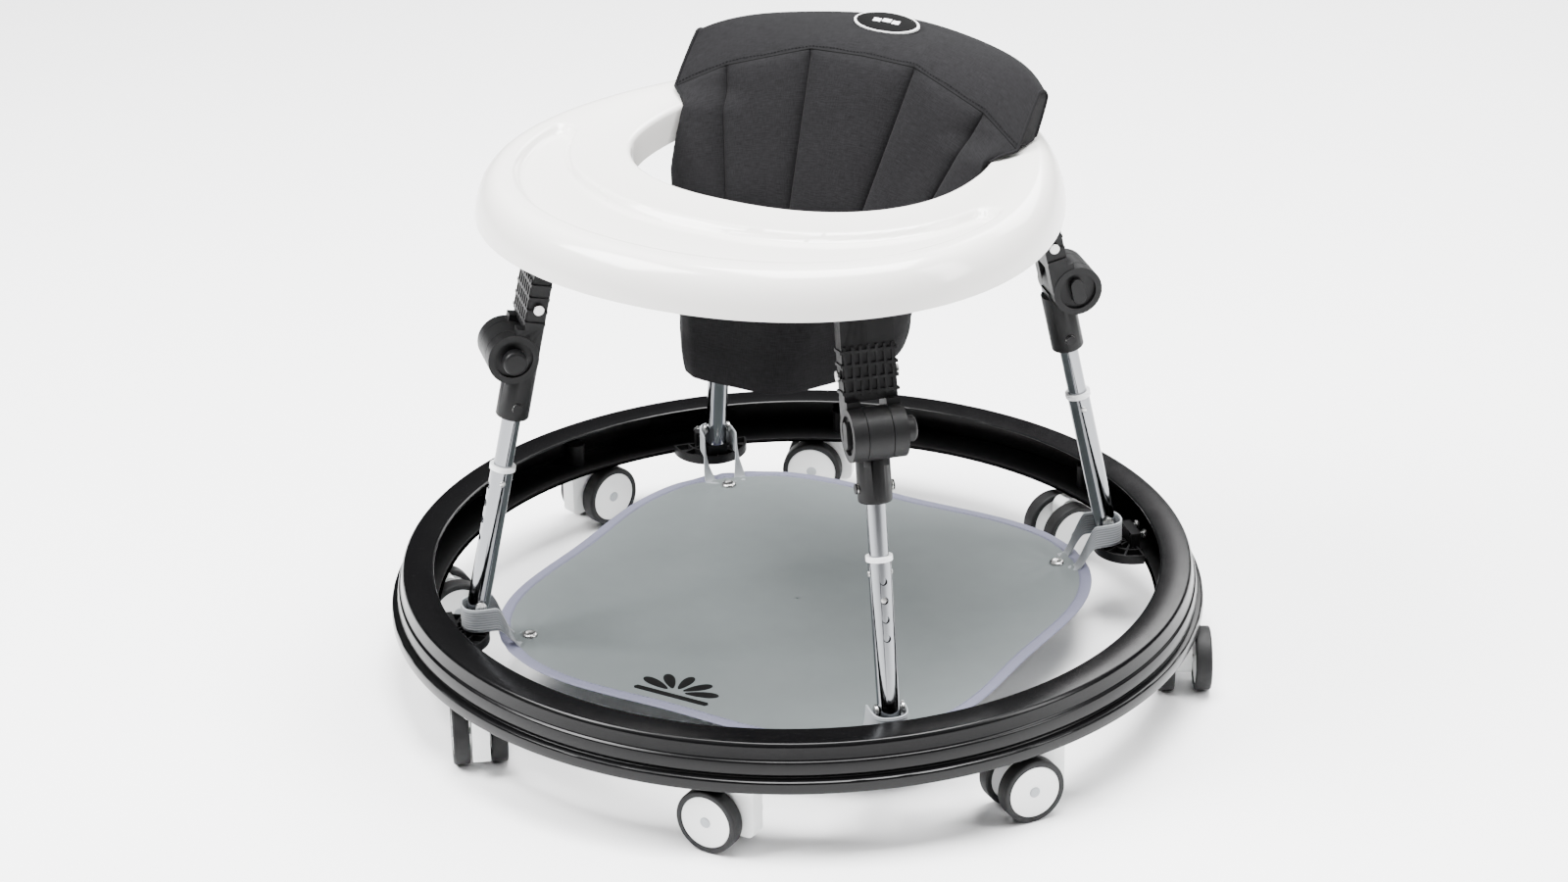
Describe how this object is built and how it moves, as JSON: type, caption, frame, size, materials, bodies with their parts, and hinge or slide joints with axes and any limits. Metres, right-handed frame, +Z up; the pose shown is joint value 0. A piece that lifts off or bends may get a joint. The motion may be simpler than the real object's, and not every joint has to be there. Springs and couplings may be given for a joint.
{
  "type": "baby walker",
  "caption": "Round baby walker: a ring on swivel casters carries hinged telescopic legs, a tray with a seat hole, a padded seat and an elastic-hung floor mat.",
  "frame": {"origin": "on the floor, under the centre of the base ring", "axes": "+Z up, front of the tray towards -Y, +X to the right seen from behind the seat"},
  "size_m": [0.7018, 0.7, 0.526],
  "materials": {
    "ring_plastic": "gloss black moulded plastic",
    "bracket_plastic": "matt black moulded plastic",
    "knee_plastic": "satin black moulded plastic",
    "tube_chrome": "bright chrome plate",
    "fastener_steel": "plain bright",
    "caster_white": "white moulded plastic",
    "wheel_tread": "soft black rubber",
    "tray_plastic": "warm white, high gloss",
    "seat_cloth": "charcoal melange woven cloth",
    "mat_cloth": "grey woven oxford cloth",
    "strap_elastic": "ribbed light grey elastic"
  },
  "bodies": {
    "base": {"base_ring_shell": "ring_plastic", "base_ring_underplate": "bracket_plastic", "leg_brackets": "bracket_plastic", "bracket_screws": "fastener_steel", "base_hinge_pins": "tube_chrome", "floor_mat": "mat_cloth", "mat_snaps": "fastener_steel", "mat_straps": "strap_elastic"},
    "tray": {"tray_shell": "tray_plastic", "seat_back": "seat_cloth", "seat_sling": "seat_cloth", "upper_arm_left_halves": "knee_plastic", "upper_arm_right_halves": "knee_plastic", "upper_arm_bolts": "tube_chrome", "knee_pins": "fastener_steel"},
    "leg_1_lower": {"leg_1_outer_tube": "tube_chrome"},
    "leg_1_upper": {"leg_1_inner_tube": "tube_chrome", "leg_1_knee_socket": "knee_plastic"},
    "leg_1_button": {"leg_1_height_button": "fastener_steel"},
    "leg_1_lock": {"leg_1_knee_lock": "knee_plastic"},
    "leg_2_lower": {"leg_2_outer_tube": "tube_chrome"},
    "leg_2_upper": {"leg_2_inner_tube": "tube_chrome", "leg_2_knee_socket": "knee_plastic"},
    "leg_2_button": {"leg_2_height_button": "fastener_steel"},
    "leg_2_lock": {"leg_2_knee_lock": "knee_plastic"},
    "leg_3_lower": {"leg_3_outer_tube": "tube_chrome"},
    "leg_3_upper": {"leg_3_inner_tube": "tube_chrome", "leg_3_knee_socket": "knee_plastic"},
    "leg_3_button": {"leg_3_height_button": "fastener_steel"},
    "leg_3_lock": {"leg_3_knee_lock": "knee_plastic"},
    "leg_4_lower": {"leg_4_outer_tube": "tube_chrome"},
    "leg_4_upper": {"leg_4_inner_tube": "tube_chrome", "leg_4_knee_socket": "knee_plastic"},
    "leg_4_button": {"leg_4_height_button": "fastener_steel"},
    "leg_4_lock": {"leg_4_knee_lock": "knee_plastic"},
    "caster_1_swivel": {"caster_1_fork": "caster_white"},
    "caster_1_wheels": {"caster_1_hubs": "caster_white", "caster_1_tyres": "wheel_tread"},
    "caster_2_swivel": {"caster_2_fork": "caster_white"},
    "caster_2_wheels": {"caster_2_hubs": "caster_white", "caster_2_tyres": "wheel_tread"},
    "caster_3_swivel": {"caster_3_fork": "caster_white"},
    "caster_3_wheels": {"caster_3_hubs": "caster_white", "caster_3_tyres": "wheel_tread"},
    "caster_4_swivel": {"caster_4_fork": "caster_white"},
    "caster_4_wheels": {"caster_4_hubs": "caster_white", "caster_4_tyres": "wheel_tread"},
    "caster_5_swivel": {"caster_5_fork": "caster_white"},
    "caster_5_wheels": {"caster_5_hubs": "caster_white", "caster_5_tyres": "wheel_tread"},
    "caster_6_swivel": {"caster_6_fork": "caster_white"},
    "caster_6_wheels": {"caster_6_hubs": "caster_white", "caster_6_tyres": "wheel_tread"},
    "caster_7_swivel": {"caster_7_fork": "caster_white"},
    "caster_7_wheels": {"caster_7_hubs": "caster_white", "caster_7_tyres": "wheel_tread"},
    "caster_8_swivel": {"caster_8_fork": "caster_white"},
    "caster_8_wheels": {"caster_8_hubs": "caster_white", "caster_8_tyres": "wheel_tread"}
  },
  "joints": [
    {"name": "height_adjust", "type": "slide", "parent": "base", "child": "tray", "axis": [0, 0, 1], "range_m": [-0.032, 0.016]},
    {"name": "leg_1_base_hinge", "type": "hinge", "parent": "base", "child": "leg_1_lower", "pos_m": [0.19799, 0.19799, 0.093], "axis": [-0.7071, 0.7071, 0], "range_deg": [-2, 1]},
    {"name": "leg_1_telescope", "type": "slide", "parent": "leg_1_lower", "child": "leg_1_upper", "axis": [-0.147, -0.147, 0.9781], "range_m": [-0.0318, 0.016]},
    {"name": "leg_1_height_button", "type": "slide", "parent": "leg_1_upper", "child": "leg_1_button", "axis": [0.6917, 0.6917, 0.2079], "range_m": [0, 0.003], "stiffness_N_per_m": 250, "springref_m": 0.003},
    {"name": "leg_1_knee_lock", "type": "slide", "parent": "tray", "child": "leg_1_lock", "axis": [0.7071, -0.7071, 0], "range_m": [0, 0.004], "stiffness_N_per_m": 400},
    {"name": "leg_2_base_hinge", "type": "hinge", "parent": "base", "child": "leg_2_lower", "pos_m": [-0.19799, 0.19799, 0.093], "axis": [-0.7071, -0.7071, 0], "range_deg": [-2, 1]},
    {"name": "leg_2_telescope", "type": "slide", "parent": "leg_2_lower", "child": "leg_2_upper", "axis": [0.147, -0.147, 0.9781], "range_m": [-0.0318, 0.016]},
    {"name": "leg_2_height_button", "type": "slide", "parent": "leg_2_upper", "child": "leg_2_button", "axis": [-0.6917, 0.6917, 0.2079], "range_m": [0, 0.003], "stiffness_N_per_m": 250, "springref_m": 0.003},
    {"name": "leg_2_knee_lock", "type": "slide", "parent": "tray", "child": "leg_2_lock", "axis": [0.7071, 0.7071, 0], "range_m": [0, 0.004], "stiffness_N_per_m": 400},
    {"name": "leg_3_base_hinge", "type": "hinge", "parent": "base", "child": "leg_3_lower", "pos_m": [-0.19799, -0.19799, 0.093], "axis": [0.7071, -0.7071, 0], "range_deg": [-2, 1]},
    {"name": "leg_3_telescope", "type": "slide", "parent": "leg_3_lower", "child": "leg_3_upper", "axis": [0.147, 0.147, 0.9781], "range_m": [-0.0318, 0.016]},
    {"name": "leg_3_height_button", "type": "slide", "parent": "leg_3_upper", "child": "leg_3_button", "axis": [-0.6917, -0.6917, 0.2079], "range_m": [0, 0.003], "stiffness_N_per_m": 250, "springref_m": 0.003},
    {"name": "leg_3_knee_lock", "type": "slide", "parent": "tray", "child": "leg_3_lock", "axis": [-0.7071, 0.7071, 0], "range_m": [0, 0.004], "stiffness_N_per_m": 400},
    {"name": "leg_4_base_hinge", "type": "hinge", "parent": "base", "child": "leg_4_lower", "pos_m": [0.19799, -0.19799, 0.093], "axis": [0.7071, 0.7071, 0], "range_deg": [-2, 1]},
    {"name": "leg_4_telescope", "type": "slide", "parent": "leg_4_lower", "child": "leg_4_upper", "axis": [-0.147, 0.147, 0.9781], "range_m": [-0.0318, 0.016]},
    {"name": "leg_4_height_button", "type": "slide", "parent": "leg_4_upper", "child": "leg_4_button", "axis": [0.6917, -0.6917, 0.2079], "range_m": [0, 0.003], "stiffness_N_per_m": 250, "springref_m": 0.003},
    {"name": "leg_4_knee_lock", "type": "slide", "parent": "tray", "child": "leg_4_lock", "axis": [-0.7071, -0.7071, 0], "range_m": [0, 0.004], "stiffness_N_per_m": 400},
    {"name": "caster_1_swivel", "type": "hinge", "parent": "base", "child": "caster_1_swivel", "pos_m": [0.30673, 0.12705, 0.06], "axis": [0, 0, 1], "continuous": true},
    {"name": "caster_1_spin", "type": "hinge", "parent": "caster_1_swivel", "child": "caster_1_wheels", "pos_m": [0.31923, 0.1054, 0.0275], "axis": [0.866, 0.5, 0], "continuous": true},
    {"name": "caster_2_swivel", "type": "hinge", "parent": "base", "child": "caster_2_swivel", "pos_m": [0.12705, 0.30673, 0.06], "axis": [0, 0, 1], "continuous": true},
    {"name": "caster_2_spin", "type": "hinge", "parent": "caster_2_swivel", "child": "caster_2_wheels", "pos_m": [0.11455, 0.28508, 0.0275], "axis": [0.866, -0.5, 0], "continuous": true},
    {"name": "caster_3_swivel", "type": "hinge", "parent": "base", "child": "caster_3_swivel", "pos_m": [-0.12705, 0.30673, 0.06], "axis": [0, 0, 1], "continuous": true},
    {"name": "caster_3_spin", "type": "hinge", "parent": "caster_3_swivel", "child": "caster_3_wheels", "pos_m": [-0.15054, 0.29818, 0.0275], "axis": [0.342, -0.9397, 0], "continuous": true},
    {"name": "caster_4_swivel", "type": "hinge", "parent": "base", "child": "caster_4_swivel", "pos_m": [-0.30673, 0.12705, 0.06], "axis": [0, 0, 1], "continuous": true},
    {"name": "caster_4_spin", "type": "hinge", "parent": "caster_4_swivel", "child": "caster_4_wheels", "pos_m": [-0.299, 0.15083, 0.0275], "axis": [-0.9511, 0.309, 0], "continuous": true},
    {"name": "caster_5_swivel", "type": "hinge", "parent": "base", "child": "caster_5_swivel", "pos_m": [-0.30673, -0.12705, 0.06], "axis": [0, 0, 1], "continuous": true},
    {"name": "caster_5_spin", "type": "hinge", "parent": "caster_5_swivel", "child": "caster_5_wheels", "pos_m": [-0.29239, -0.10657, 0.0275], "axis": [-0.8192, 0.5736, 0], "continuous": true},
    {"name": "caster_6_swivel", "type": "hinge", "parent": "base", "child": "caster_6_swivel", "pos_m": [-0.12705, -0.30673, 0.06], "axis": [0, 0, 1], "continuous": true},
    {"name": "caster_6_spin", "type": "hinge", "parent": "caster_6_swivel", "child": "caster_6_wheels", "pos_m": [-0.1421, -0.28676, 0.0275], "axis": [-0.7986, -0.6018, 0], "continuous": true},
    {"name": "caster_7_swivel", "type": "hinge", "parent": "base", "child": "caster_7_swivel", "pos_m": [0.12705, -0.30673, 0.06], "axis": [0, 0, 1], "continuous": true},
    {"name": "caster_7_spin", "type": "hinge", "parent": "caster_7_swivel", "child": "caster_7_wheels", "pos_m": [0.10206, -0.30629, 0.0275], "axis": [-0.0175, -0.9998, 0], "continuous": true},
    {"name": "caster_8_swivel", "type": "hinge", "parent": "base", "child": "caster_8_swivel", "pos_m": [0.30673, -0.12705, 0.06], "axis": [0, 0, 1], "continuous": true},
    {"name": "caster_8_spin", "type": "hinge", "parent": "caster_8_swivel", "child": "caster_8_wheels", "pos_m": [0.29275, -0.14778, 0.0275], "axis": [0.829, -0.5592, 0], "continuous": true}
  ],
  "couplings": [
    {"joint": "leg_1_base_hinge", "follows": "height_adjust", "rad_per_m": 0.9617},
    {"joint": "leg_1_telescope", "follows": "height_adjust", "ratio": 0.98906},
    {"joint": "leg_2_base_hinge", "follows": "height_adjust", "rad_per_m": 0.9617},
    {"joint": "leg_2_telescope", "follows": "height_adjust", "ratio": 0.98906},
    {"joint": "leg_3_base_hinge", "follows": "height_adjust", "rad_per_m": 0.9617},
    {"joint": "leg_3_telescope", "follows": "height_adjust", "ratio": 0.98906},
    {"joint": "leg_4_base_hinge", "follows": "height_adjust", "rad_per_m": 0.9617},
    {"joint": "leg_4_telescope", "follows": "height_adjust", "ratio": 0.98906}
  ]
}
